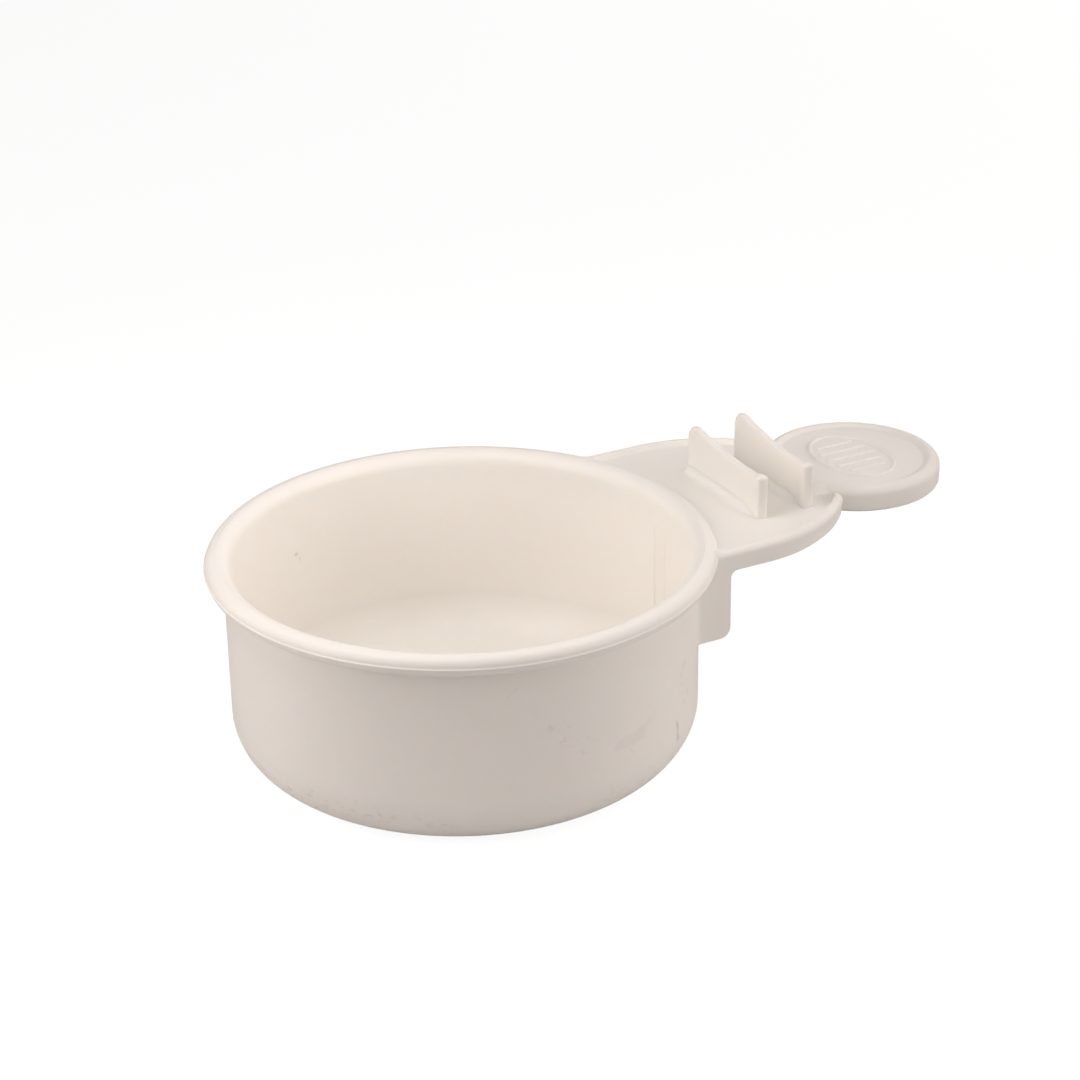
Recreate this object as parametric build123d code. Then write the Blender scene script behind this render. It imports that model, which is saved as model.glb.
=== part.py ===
from build123d import *
import os
from math import asin, cos, degrees, radians, sin

# A one-handed mixing cup: a round cup with a rolled rim, and a flat handle at rim level that carries
# two upright fins and ends in a round thumb disc. Millimetres. The origin is the centre of the cup's
# underside, +Z is up, and +X runs along the handle. The handle is symmetric about the XZ plane, apart
# from its fins.

# Cup
RIM_RADIUS = 65.0
CUP_HEIGHT = 55.8
BEAD_RADIUS = 2.65
WALL_RADIUS = 60.4
WALL_THICKNESS = 1.9
BASE_CORNER_RADIUS = 13.2
BEAD_FILLET = 0.9

# Handle plate and its raised border
HALF_WIDTH = 36.3
PLATE_TOP = 53.0
PLATE_THICKNESS = 2.0
BORDER_TOP = 54.4
BORDER_BOTTOM = 48.8
BORDER_WIDTH = 2.8
BORDER_ROUNDING = 1.1
HANDLE_START = 45.0
CORNER_START = 74.0
CORNER_RADIUS = 24.0
CORNER_TURN = 36.0
TAPER_LENGTH = 14.6
TIP_RADIUS = 3.2

# Gussets and ribs under the handle
GUSSET_THICKNESS = 2.4
GUSSET_REACH = 58.3
GUSSET_BOTTOM = 30.4
GUSSET_CORNER = 2.8
GUSSET_FILLET = 2.0
RIB_THICKNESS = 1.6
RIB_OFFSET = 2.6
RIB_REACH = 84.0
RIB_BOTTOM = 24.0
RIB_FOOT = 3.0

# Fins
FIN_THICKNESS = 2.0
FIN_EDGE_ROUNDING = 0.85
FIN_NEAR_END = -21.2
FIN_RISE_START = -14.0
FIN_CORNER = 3.8
FIN_POST = 3.0
FIN_POST_ROUNDING = 0.9
FIN_POST_STEP = 0.45
INNER_FIN_X = 77.2
INNER_FIN_FAR_END = 15.6
INNER_FIN_LOW = 64.5
INNER_FIN_HOLLOW = 128.0
OUTER_FIN_X = 91.25
OUTER_FIN_FAR_END = 14.8
OUTER_FIN_LOW = 65.0
OUTER_FIN_HOLLOW = 93.0

# Thumb disc
DISC_CENTRE = 118.9
DISC_RADIUS = 23.9
DISC_TOP = 55.0
DISC_BOTTOM = 47.9
DISC_EDGE_ROUNDING = 2.2
DISC_FOOT_ROUNDING = 0.6
DISC_RIM_WIDTH = 4.3
DISC_SKIRT = 2.4
WEB_TOP = 54.2
WEB_THICKNESS = 2.0
GRIP_HALF_LENGTH = 15.0
GRIP_HALF_WIDTH = 10.5
GRIP_LINE = 1.3
GRIP_HEIGHT = 0.5
GRIP_RIDGE_SPACING = 4.2

inner_radius = WALL_RADIUS - WALL_THICKNESS
flat_radius = WALL_RADIUS - BASE_CORNER_RADIUS
bead_centre = (RIM_RADIUS - BEAD_RADIUS, CUP_HEIGHT - BEAD_RADIUS)
wall_top = bead_centre[1] - BEAD_RADIUS - BEAD_FILLET
lip_radius = bead_centre[0] - inner_radius


def on_circle(centre, radius, angle):
    """The point of a circle at an angle in degrees."""
    return (centre[0] + radius * cos(radians(angle)), centre[1] + radius * sin(radians(angle)))


def round_body(edges, centre_x=0.0):
    """Turn a section, given as X = radius and Y = height, about a vertical axis."""
    section = Plane.XZ * make_face(edges)
    return Pos(centre_x, 0, 0) * revolve(section, Axis.Z)


def cup_base():
    """The flat floor and the rounded corner up to where the wall is straight."""
    corner = (flat_radius, BASE_CORNER_RADIUS)
    inner_corner = BASE_CORNER_RADIUS - WALL_THICKNESS
    return round_body([
        Line((0, 0), (flat_radius, 0)),
        CenterArc(corner, BASE_CORNER_RADIUS, -90, 90),
        Line((WALL_RADIUS, BASE_CORNER_RADIUS), (inner_radius, BASE_CORNER_RADIUS)),
        CenterArc(corner, inner_corner, -90, 90),
        Line((flat_radius, WALL_THICKNESS), (0, WALL_THICKNESS)),
        Line((0, WALL_THICKNESS), (0, 0)),
    ])


def cup_wall():
    """The straight cylindrical wall between the base corner and the rim."""
    return round_body(Polyline(
        (inner_radius, BASE_CORNER_RADIUS),
        (WALL_RADIUS, BASE_CORNER_RADIUS),
        (WALL_RADIUS, wall_top),
        (inner_radius, wall_top),
        close=True,
    ).edges())


def rim_outside(start_x):
    """The outside of the rim from the wall, under the bead and over its top, as far as start_x."""
    underside = bead_centre[1] - BEAD_RADIUS
    fillet_centre = (WALL_RADIUS + BEAD_FILLET, wall_top)
    return [
        Line((start_x, wall_top), (WALL_RADIUS, wall_top)),
        CenterArc(fillet_centre, BEAD_FILLET, 90, 90),
        Line((WALL_RADIUS + BEAD_FILLET, underside), (bead_centre[0], underside)),
        CenterArc(bead_centre, BEAD_RADIUS, -90, 180),
    ]


def rim_bead():
    """The outward rolled rim, with a rounded lip that runs down into the inner wall."""
    lip_centre = (bead_centre[0], CUP_HEIGHT - lip_radius)
    return round_body(rim_outside(inner_radius) + [
        CenterArc(lip_centre, lip_radius, 90, 90),
        Line((inner_radius, CUP_HEIGHT - lip_radius), (inner_radius, wall_top)),
    ])


def cup_envelope():
    """The cup with its inside filled, which the handle's parts are cut back from."""
    crown = round_body(rim_outside(0) + [
        Line((bead_centre[0], CUP_HEIGHT), (0, CUP_HEIGHT)),
        Line((0, CUP_HEIGHT), (0, wall_top)),
    ])
    return crown + Cylinder(WALL_RADIUS, wall_top, align=(Align.CENTER, Align.CENTER, Align.MIN))


def border_line(inset):
    """One side of the handle's outline, from the cup to the rounded tip beside the disc."""
    corner = (CORNER_START, CORNER_RADIUS - HALF_WIDTH)
    turned = CORNER_TURN - 90
    straight = on_circle((0, 0), TAPER_LENGTH, CORNER_TURN)
    shift = on_circle((0, 0), CORNER_RADIUS - TIP_RADIUS, turned)
    tip = (corner[0] + shift[0] + straight[0], corner[1] + shift[1] + straight[1])
    side = inset - HALF_WIDTH
    first_arc = CenterArc(corner, CORNER_RADIUS - inset, -90, CORNER_TURN)
    last_arc = CenterArc(tip, TIP_RADIUS - inset, turned, -turned)
    return [
        Line((HANDLE_START, side), (CORNER_START, side)),
        first_arc,
        Line(first_arc @ 1, last_arc @ 0),
        last_arc,
    ]


def border_region():
    """The plan of the near border: a band of constant width."""
    outer = border_line(0)
    inner = border_line(BORDER_WIDTH)
    ends = [Line(outer[0] @ 0, inner[0] @ 0), Line(outer[-1] @ 1, inner[-1] @ 1)]
    return make_face(outer + ends + inner)


def near_border(envelope):
    """The near border: a rounded edge above the plate and a skirt below it."""
    band = extrude(border_region(), BORDER_TOP - BORDER_BOTTOM)
    top_edges = band.edges().group_by(Axis.Z)[-1]
    run_edges = [edge for edge in top_edges if edge.center().X > HANDLE_START + 1]
    band = fillet(run_edges, BORDER_ROUNDING)
    return Pos(0, 0, BORDER_BOTTOM) * band - envelope


def handle_plate(envelope, borders):
    """The flat web between the two borders, from the rim to the disc."""
    outer = border_line(0)
    start = outer[0] @ 0
    end = outer[-1] @ 1
    far_side = [mirror(edge, about=Plane.XZ) for edge in outer]
    ends = [Line((start.X, start.Y), (start.X, -start.Y)), Line((end.X, end.Y), (end.X, -end.Y))]
    slab = extrude(make_face(outer + far_side + ends), PLATE_THICKNESS)
    slab = Pos(0, 0, PLATE_TOP - PLATE_THICKNESS) * slab
    return slab - borders[0] - borders[1] - disc_envelope() - envelope


def disc_envelope():
    """The space of the thumb disc, filled."""
    height = DISC_TOP - DISC_BOTTOM
    disc = Cylinder(DISC_RADIUS, height, align=(Align.CENTER, Align.CENTER, Align.MIN))
    return Pos(DISC_CENTRE, 0, DISC_BOTTOM) * disc


def near_gusset(envelope):
    """The short wall under the near border, which ties it to the cup."""
    corner = (GUSSET_REACH - GUSSET_CORNER, GUSSET_BOTTOM + GUSSET_CORNER)
    fillet_centre = (GUSSET_REACH + GUSSET_FILLET, BORDER_BOTTOM - GUSSET_FILLET)
    outline = [
        Line((HANDLE_START, BORDER_BOTTOM), (fillet_centre[0], BORDER_BOTTOM)),
        CenterArc(fillet_centre, GUSSET_FILLET, 90, 90),
        Line((GUSSET_REACH, fillet_centre[1]), (GUSSET_REACH, corner[1])),
        CenterArc(corner, GUSSET_CORNER, -90, 90),
        Line((corner[0], GUSSET_BOTTOM), (HANDLE_START, GUSSET_BOTTOM)),
        Line((HANDLE_START, GUSSET_BOTTOM), (HANDLE_START, BORDER_BOTTOM)),
    ]
    outer_face = Plane.XZ.offset(HALF_WIDTH - GUSSET_THICKNESS) * make_face(outline)
    return extrude(outer_face, GUSSET_THICKNESS) - envelope


def near_rib(envelope):
    """One of the two ribs between the cup wall and the underside of the plate."""
    underside = PLATE_TOP - PLATE_THICKNESS
    outline = Polyline(
        (HANDLE_START, underside),
        (RIB_REACH, underside),
        (RIB_REACH, underside - RIB_FOOT),
        (WALL_RADIUS + RIB_FOOT, RIB_BOTTOM),
        (HANDLE_START, RIB_BOTTOM),
        close=True,
    )
    face = Plane.XZ.offset(RIB_OFFSET - RIB_THICKNESS / 2) * make_face(outline.edges())
    return extrude(face, RIB_THICKNESS) - envelope


def fin(centre_x, far_end, low_height, hollow_radius):
    """An upright fin: a thin blade with a hollow, rounded top edge, and a thicker post at its near end."""
    blade_start = FIN_NEAR_END + FIN_POST / 2
    hollow_centre = (FIN_RISE_START, low_height + hollow_radius)
    turn = degrees(asin((far_end - FIN_RISE_START) / hollow_radius))
    hollow = CenterArc(hollow_centre, hollow_radius, -90, turn)
    outline = make_face([
        Line((blade_start, PLATE_TOP), (blade_start, low_height)),
        Line((blade_start, low_height), (FIN_RISE_START, low_height)),
        hollow,
        Line(hollow @ 1, (far_end, PLATE_TOP)),
        Line((far_end, PLATE_TOP), (blade_start, PLATE_TOP)),
    ])
    far_tip = outline.vertices().sort_by(Axis.Y)[-1]
    outline = fillet(far_tip, FIN_CORNER)
    blade = extrude(Plane.YZ.offset(centre_x - FIN_THICKNESS / 2) * outline, FIN_THICKNESS)
    across = blade.edges().filter_by(Axis.X)
    upright_start = blade.edges().filter_by(Axis.Z).filter_by_position(Axis.Y, blade_start - 0.1, blade_start + 0.1)
    foot = blade.edges().filter_by_position(Axis.Z, PLATE_TOP - 0.1, PLATE_TOP + 0.1)
    free_edges = blade.edges() - across - upright_start - foot
    blade = fillet(free_edges, FIN_EDGE_ROUNDING)
    post_height = low_height + FIN_POST_STEP - PLATE_TOP
    post = Box(FIN_POST, FIN_POST, post_height, align=(Align.CENTER, Align.MIN, Align.MIN))
    post = fillet(post.edges().filter_by(Axis.Z), FIN_POST_ROUNDING)
    post = fillet(post.edges().group_by(Axis.Z)[-1], FIN_EDGE_ROUNDING / 2)
    return blade + Pos(centre_x, FIN_NEAR_END, PLATE_TOP) * post


def disc_rim():
    """The raised ring round the thumb disc, with the skirt below it."""
    outside = (DISC_RADIUS - DISC_EDGE_ROUNDING, DISC_TOP - DISC_EDGE_ROUNDING)
    foot = (DISC_RADIUS - DISC_FOOT_ROUNDING, DISC_BOTTOM + DISC_FOOT_ROUNDING)
    web_radius = DISC_RADIUS - DISC_RIM_WIDTH
    web_bottom = WEB_TOP - WEB_THICKNESS
    skirt_inside = DISC_RADIUS - DISC_SKIRT
    return round_body([
        Line((web_radius, web_bottom), (skirt_inside, web_bottom)),
        Line((skirt_inside, web_bottom), (skirt_inside, DISC_BOTTOM)),
        Line((skirt_inside, DISC_BOTTOM), (foot[0], DISC_BOTTOM)),
        CenterArc(foot, DISC_FOOT_ROUNDING, -90, 90),
        Line((DISC_RADIUS, foot[1]), (DISC_RADIUS, outside[1])),
        CenterArc(outside, DISC_EDGE_ROUNDING, 0, 90),
        Line((outside[0], DISC_TOP), (web_radius, WEB_TOP)),
        Line((web_radius, WEB_TOP), (web_radius, web_bottom)),
    ], DISC_CENTRE)


def disc_web():
    """The flat centre of the thumb disc."""
    radius = DISC_RADIUS - DISC_RIM_WIDTH
    web = Cylinder(radius, WEB_THICKNESS, align=(Align.CENTER, Align.CENTER, Align.MAX))
    return Pos(DISC_CENTRE, 0, WEB_TOP) * web


def grip_oval():
    """The raised oval line on the disc, its long axis across the handle."""
    outer = Ellipse(GRIP_HALF_WIDTH, GRIP_HALF_LENGTH)
    inner = Ellipse(GRIP_HALF_WIDTH - GRIP_LINE, GRIP_HALF_LENGTH - GRIP_LINE)
    return Pos(DISC_CENTRE, 0, WEB_TOP) * extrude(outer - inner, GRIP_HEIGHT)


def grip_ridges():
    """Straight ridges across the oval, each clear of the oval line."""
    half_width = GRIP_HALF_WIDTH - 2 * GRIP_LINE
    half_length = GRIP_HALF_LENGTH - 2 * GRIP_LINE
    ridges = []
    for step in (-2, -1, 0, 1, 2):
        offset = step * GRIP_RIDGE_SPACING
        reach = half_width * (1 - (offset / half_length) ** 2) ** 0.5
        ridge = extrude(SlotOverall(2 * reach, GRIP_LINE), GRIP_HEIGHT)
        ridges.append(Pos(DISC_CENTRE, offset, WEB_TOP) * ridge)
    return Compound(children=ridges)


def mirrored(shape):
    """The same piece on the far side of the handle."""
    return mirror(shape, about=Plane.XZ)


envelope = cup_envelope()
border = near_border(envelope)
gusset = near_gusset(envelope)
rib = near_rib(envelope)
pieces = {
    "cup_base": cup_base(),
    "cup_wall": cup_wall(),
    "rim_bead": rim_bead(),
    "handle_plate": handle_plate(envelope, (border, mirrored(border))),
    "near_border": border,
    "far_border": mirrored(border),
    "near_gusset": gusset,
    "far_gusset": mirrored(gusset),
    "near_rib": rib,
    "far_rib": mirrored(rib),
    "inner_fin": fin(INNER_FIN_X, INNER_FIN_FAR_END, INNER_FIN_LOW, INNER_FIN_HOLLOW),
    "outer_fin": fin(OUTER_FIN_X, OUTER_FIN_FAR_END, OUTER_FIN_LOW, OUTER_FIN_HOLLOW),
    "disc_rim": disc_rim(),
    "disc_web": disc_web(),
    "grip_oval": grip_oval(),
    "grip_ridges": grip_ridges(),
}

os.makedirs("parts", exist_ok=True)
for name, shape in pieces.items():
    export_step(shape, f"parts/{name}.step")
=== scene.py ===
from math import asin, atan2, cos, degrees, pi, radians, sin, sqrt

import bmesh
import bpy
import numpy as np
from mathutils import Matrix, Vector


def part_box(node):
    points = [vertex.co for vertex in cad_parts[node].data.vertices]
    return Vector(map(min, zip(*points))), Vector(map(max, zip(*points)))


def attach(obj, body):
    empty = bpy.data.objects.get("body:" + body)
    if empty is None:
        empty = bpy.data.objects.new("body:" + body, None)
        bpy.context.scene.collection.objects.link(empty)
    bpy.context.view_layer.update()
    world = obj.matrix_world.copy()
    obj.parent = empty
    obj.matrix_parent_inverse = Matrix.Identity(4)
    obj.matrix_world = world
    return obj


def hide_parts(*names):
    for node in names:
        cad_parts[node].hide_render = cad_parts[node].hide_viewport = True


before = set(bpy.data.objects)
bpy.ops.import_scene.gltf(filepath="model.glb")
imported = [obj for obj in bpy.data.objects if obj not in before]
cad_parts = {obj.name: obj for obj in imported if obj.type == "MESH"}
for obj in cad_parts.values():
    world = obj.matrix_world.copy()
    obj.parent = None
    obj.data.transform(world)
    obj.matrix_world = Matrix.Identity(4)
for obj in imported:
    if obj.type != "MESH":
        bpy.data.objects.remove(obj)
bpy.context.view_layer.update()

# A round mixing bowl with a rolled rim and a flat handle: one off-white plastic moulding.
# Lengths are metres, in the frame's own axes: +Z up, +X along the handle, -Y the side nearest the camera.

MM = 0.001

# ---------------------------------------------------------------- sizes read from the frame
base_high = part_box("cup_base")[1]
wall_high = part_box("cup_wall")[1]
rim_low, rim_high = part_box("rim_bead")
plate_low, plate_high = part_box("handle_plate")
border_low, border_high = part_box("near_border")
gusset_low, gusset_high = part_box("near_gusset")
rib_low, rib_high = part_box("near_rib")
disc_low, disc_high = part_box("disc_rim")
web_low, web_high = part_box("disc_web")
oval_low, oval_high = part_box("grip_oval")

WALL_RADIUS = wall_high.x
RIM_RADIUS = rim_high.x
CUP_HEIGHT = rim_high.z
BASE_CORNER = base_high.z
RIM_START = rim_low.z
PLATE_TOP = plate_high.z
PLATE_BOTTOM = plate_low.z
HALF_WIDTH = -border_low.y
BORDER_TOP = border_high.z
BORDER_BOTTOM = border_low.z
TIP_REACH = border_high.x
DISC_CENTRE = (disc_low.x + disc_high.x) / 2
DISC_RADIUS = (disc_high.x - disc_low.x) / 2
DISC_TOP = disc_high.z
DISC_BOTTOM = disc_low.z
WEB_RADIUS = (web_high.x - web_low.x) / 2
WEB_TOP = web_high.z
WEB_BOTTOM = web_low.z

# ---------------------------------------------------------------- shape details
WALL_THICKNESS = 1.9 * MM
INNER_RADIUS = WALL_RADIUS - WALL_THICKNESS
BEAD_RADIUS = 2.65 * MM
BEAD_LINE = 0.26 * MM
BEAD_FILLET = 0.9 * MM
BEAD_R = RIM_RADIUS - BEAD_RADIUS
BEAD_Z = CUP_HEIGHT - BEAD_RADIUS

BORDER_ROUNDING = 1.7 * MM
BORDER_DRAFT = 0.45 * MM
BORDER_CREST = 1.95 * MM
BORDER_FLARE = 3.3 * MM
BORDER_TIP_FLARE = 2.8 * MM
BORDER_START = 59.6 * MM
BORDER_START_STEP = 2.4 * MM
BORDER_STEP_HEIGHT = 53.2 * MM
TAPER_START = 74 * MM
TAPER_LENGTH = 16 * MM
LIFT_START = 63.6 * MM
LIFT_LENGTH = 3.2 * MM
NOSE_LENGTH = 1.8 * MM
NOSE_ROUNDING = 0.9 * MM
PLATE_INSET = 1.3 * MM
PLATE_START = 62.6 * MM

RIB_OFFSET = 2.6 * MM
SINK_TOP = 46.5 * MM
SINK_BOTTOM = 17.0 * MM
SINK_DEPTH = 0.34 * MM
SINK_WIDTH = 0.55 * MM

GUSSET_BLEND = 3.0 * MM
GUSSET_EDGE = 0.45 * MM
FIN_HALF = 1.0 * MM
FIN_ROUNDING = 0.9 * MM
FIN_CORNER = 3.8 * MM
FIN_RISE = -14.0 * MM
FIN_POST = 3.0 * MM
FIN_POST_STEP = 0.45 * MM
FIN_BASE = PLATE_TOP - 0.6 * MM
FIN_ROWS = 10


# ---------------------------------------------------------------- small geometry helpers
def arc(centre, radius, start, end, count):
    """Points on a circle from one angle in degrees to another."""
    angles = np.radians(np.linspace(start, end, count))
    return [(centre[0] + radius * cos(a), centre[1] + radius * sin(a)) for a in angles]


def line(start, end, count):
    """Evenly spaced points on a straight run, without its two ends."""
    steps = np.linspace(0, 1, count + 2)[1:-1]
    return [(start[0] + (end[0] - start[0]) * t, start[1] + (end[1] - start[1]) * t) for t in steps]


def smooth(t):
    """A smooth step from 0 to 1."""
    t = min(1.0, max(0.0, t))
    return t * t * (3 - 2 * t)


def make_piece(name, bm, nodes, sharp_angle=38):
    """Turn a bmesh into a piece of the object that stands for CAD nodes."""
    bmesh.ops.remove_doubles(bm, verts=bm.verts, dist=1e-6)
    bmesh.ops.dissolve_degenerate(bm, edges=bm.edges, dist=1e-7)
    bmesh.ops.recalc_face_normals(bm, faces=bm.faces)
    mesh = bpy.data.meshes.new(name)
    bm.to_mesh(mesh)
    bm.free()
    mesh.shade_smooth()
    mesh.set_sharp_from_angle(angle=radians(sharp_angle))
    piece = bpy.data.objects.new(name, mesh)
    bpy.context.scene.collection.objects.link(piece)
    weighted = piece.modifiers.new("weighted_normals", "WEIGHTED_NORMAL")
    weighted.keep_sharp = True
    piece.data.materials.append(plastic)
    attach(piece, "root")
    if nodes:
        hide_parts(*nodes)
    return piece


def grid_faces(bm, rows, close_rows=False, close_columns=False):
    """Quads between rows of vertices."""
    row_count = len(rows)
    column_count = len(rows[0])
    for i in range(row_count if close_rows else row_count - 1):
        this_row = rows[i]
        next_row = rows[(i + 1) % row_count]
        for j in range(column_count if close_columns else column_count - 1):
            k = (j + 1) % column_count
            corners = [this_row[j], this_row[k], next_row[k], next_row[j]]
            distinct = list(dict.fromkeys(corners))
            if len(distinct) > 2:
                bm.faces.new(distinct)


def lathe(bm, profile, angles, centre_x=0.0, shift=None):
    """Turn a closed profile of (radius, height) points about a vertical axis.

    shift(radius, height, angle) may return a new radius."""
    rows = []
    for radius, height in profile:
        if radius < 1e-7:
            pole = bm.verts.new((centre_x, 0, height))
            rows.append([pole] * len(angles))
            continue
        row = []
        for angle in angles:
            r = shift(radius, height, angle) if shift else radius
            row.append(bm.verts.new((centre_x + r * cos(angle), r * sin(angle), height)))
        rows.append(row)
    closed = profile[0][0] > 1e-7 or profile[-1][0] > 1e-7
    grid_faces(bm, rows, close_rows=closed, close_columns=True)


def turned_angles(count, extra=()):
    """Even angles round a circle, with a few more where detail needs them."""
    even = list(np.linspace(0, 2 * pi, count, endpoint=False))
    kept = [a for a in even if all(abs((a - e + pi) % (2 * pi) - pi) > 0.004 for e in extra)]
    return sorted(kept + [e % (2 * pi) for e in extra])


# ---------------------------------------------------------------- material
def node(tree, kind, x, y, **settings):
    """A shader node with its properties and input values set by name."""
    made = tree.nodes.new(kind)
    made.location = (x, y)
    inputs = settings.pop("inputs", {})
    for key, value in settings.items():
        setattr(made, key, value)
    for key, value in inputs.items():
        made.inputs[key].default_value = value
    return made


def ramp(tree, x, y, low, high, low_value=0.0, high_value=1.0):
    """A clamped straight map from one range to another."""
    return node(tree, "ShaderNodeMapRange", x, y, clamp=True, interpolation_type="SMOOTHSTEP", inputs={
        "From Min": low,
        "From Max": high,
        "To Min": low_value,
        "To Max": high_value,
    })


def stroke(tree, position, start, end, width, x, y):
    """A soft mask along a mark on the surface, given by its two ends and its half width."""
    link = tree.links.new
    along = end - start
    scale = 1 / max(along.length_squared, 1e-12)
    offset = node(tree, "ShaderNodeVectorMath", x, y, operation="SUBTRACT", inputs={1: start})
    link(position, offset.inputs[0])
    share = node(tree, "ShaderNodeVectorMath", x + 160, y, operation="DOT_PRODUCT", inputs={
        1: along * scale,
    })
    link(offset.outputs["Vector"], share.inputs[0])
    held = node(tree, "ShaderNodeClamp", x + 320, y)
    link(share.outputs["Value"], held.inputs["Value"])
    nearest = node(tree, "ShaderNodeVectorMath", x + 480, y, operation="SCALE", inputs={0: along})
    link(held.outputs["Result"], nearest.inputs["Scale"])
    gap = node(tree, "ShaderNodeVectorMath", x + 640, y, operation="DISTANCE")
    link(offset.outputs["Vector"], gap.inputs[0])
    link(nearest.outputs["Vector"], gap.inputs[1])
    mask = ramp(tree, x + 800, y, width * 0.35, width, 1.0, 0.0)
    link(gap.outputs["Value"], mask.inputs["Value"])
    return mask.outputs["Result"]


def combine(tree, operation, first, second, x, y):
    """One Math node on a socket and either another socket or a number."""
    made = node(tree, "ShaderNodeMath", x, y, operation=operation)
    tree.links.new(first, made.inputs[0])
    if isinstance(second, (int, float)):
        made.inputs[1].default_value = second
    else:
        tree.links.new(second, made.inputs[1])
    return made.outputs["Value"]


def wander(tree, place, x, y):
    """Positions pushed about by up to a millimetre or so, which makes straight marks irregular."""
    push = node(tree, "ShaderNodeTexNoise", x, y, inputs={"Scale": 130.0, "Detail": 2.0})
    tree.links.new(place.outputs["Object"], push.inputs["Vector"])
    centred = node(tree, "ShaderNodeVectorMath", x + 160, y, operation="SUBTRACT", inputs={
        1: (0.5, 0.5, 0.5),
    })
    tree.links.new(push.outputs["Color"], centred.inputs[0])
    scaled = node(tree, "ShaderNodeVectorMath", x + 320, y, operation="SCALE", inputs={
        "Scale": 6 * MM,
    })
    tree.links.new(centred.outputs["Vector"], scaled.inputs[0])
    moved = node(tree, "ShaderNodeVectorMath", x + 480, y, operation="ADD")
    tree.links.new(place.outputs["Object"], moved.inputs[0])
    tree.links.new(scaled.outputs["Vector"], moved.inputs[1])
    return moved.outputs["Vector"]


def wear_mask(tree, position, marks, x, y):
    """The strongest of several marks at each point, each with its own strength."""
    total = None
    for k, (start, end, width, strength) in enumerate(marks):
        one = stroke(tree, position, start, end, width, x, y - 180 * k)
        one = combine(tree, "MULTIPLY", one, strength, x + 1000, y - 180 * k)
        total = one if total is None else combine(tree, "MAXIMUM", total, one, x + 1160, y - 180 * k)
    return total


def on_outside(turn, height):
    """A point on the bowl's outside, by its angle round the axis in degrees and its height."""
    below_wall = max(0.0, BASE_CORNER - height)
    radius = WALL_RADIUS - BASE_CORNER + sqrt(BASE_CORNER ** 2 - below_wall ** 2)
    return Vector((radius * cos(radians(turn)), radius * sin(radians(turn)), height))


def on_inside(turn, height):
    """A point on the bowl's inner wall, by its angle round the axis in degrees and its height."""
    return Vector((INNER_RADIUS * cos(radians(turn)), INNER_RADIUS * sin(radians(turn)), height))


# Handling marks, each as (start, end, half width, strength).
DOTS = [
    (on_outside(-143, 50 * MM), on_outside(-144, 50 * MM), 0.5 * MM, 0.35),
    (on_outside(-163, 9 * MM), on_outside(-164, 9 * MM), 0.7 * MM, 0.20),
    (on_inside(113.5, 36 * MM), on_inside(113, 36 * MM), 0.7 * MM, 0.30),
    (on_inside(112, 34.5 * MM), on_inside(112, 34 * MM), 0.5 * MM, 0.15),
]
NICKS = [
    (on_outside(-56, 19 * MM), on_outside(-55, 13 * MM), 0.9 * MM, 0.30),
    (on_outside(-50, 33 * MM), on_outside(-53, 30 * MM), 0.9 * MM, 0.10),
    (on_outside(-105.5, 45 * MM), on_outside(-106.5, 43 * MM), 0.7 * MM, 0.08),
]
CREASES = [
    (on_outside(-65.5, 26 * MM), on_outside(-71, 23 * MM), 2.2 * MM, 0.7),
    (on_outside(-71, 23 * MM), on_outside(-78, 20.5 * MM), 2.2 * MM, 1.0),
    (on_outside(-78, 20.5 * MM), on_outside(-73.5, 18 * MM), 1.2 * MM, 0.5),
]
SCUFFS = [
    (on_outside(-95, 31 * MM), on_outside(-88, 27 * MM), 4.5 * MM, 0.9),
    (on_outside(-52, 27 * MM), on_outside(-50, 22 * MM), 4.0 * MM, 0.8),
    (on_outside(-157, 8.5 * MM), on_outside(-138, 8.5 * MM), 5.5 * MM, 1.0),
    (on_outside(-138, 8.5 * MM), on_outside(-121, 8.5 * MM), 4.5 * MM, 0.8),
    (on_outside(-82, 9 * MM), on_outside(-60, 9 * MM), 4.0 * MM, 0.6),
]


def plastic_tint(tree, place):
    """The plastic's own colour, a little mottled."""
    link = tree.links.new
    mottle = node(tree, "ShaderNodeTexNoise", -1200, 500, inputs={
        "Scale": 38.0,
        "Detail": 4.0,
        "Roughness": 0.55,
    })
    link(place.outputs["Object"], mottle.inputs["Vector"])
    tint = node(tree, "ShaderNodeMix", -900, 500, data_type="RGBA")
    tint.inputs["A"].default_value = (0.910, 0.884, 0.826, 1)
    tint.inputs["B"].default_value = (0.932, 0.910, 0.858, 1)
    link(mottle.outputs["Fac"], tint.inputs["Factor"])
    return tint.outputs["Result"]


def speck_mask(tree, place):
    """A few faint specks moulded into the plastic."""
    link = tree.links.new
    specks = node(tree, "ShaderNodeTexVoronoi", -1200, 200, feature="F1", inputs={
        "Scale": 130.0,
        "Randomness": 1.0,
    })
    link(place.outputs["Object"], specks.inputs["Vector"])
    dot = ramp(tree, -950, 200, 0.030, 0.055, 1.0, 0.0)
    link(specks.outputs["Distance"], dot.inputs["Value"])
    pick = node(tree, "ShaderNodeSeparateColor", -950, 20)
    link(specks.outputs["Color"], pick.inputs["Color"])
    rare = ramp(tree, -750, 20, 0.94, 0.98)
    link(pick.outputs["Red"], rare.inputs["Value"])
    speck = combine(tree, "MULTIPLY", dot.outputs["Result"], rare.outputs["Result"], -550, 120)
    return combine(tree, "MULTIPLY", speck, 0.4, -400, 120)


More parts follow.
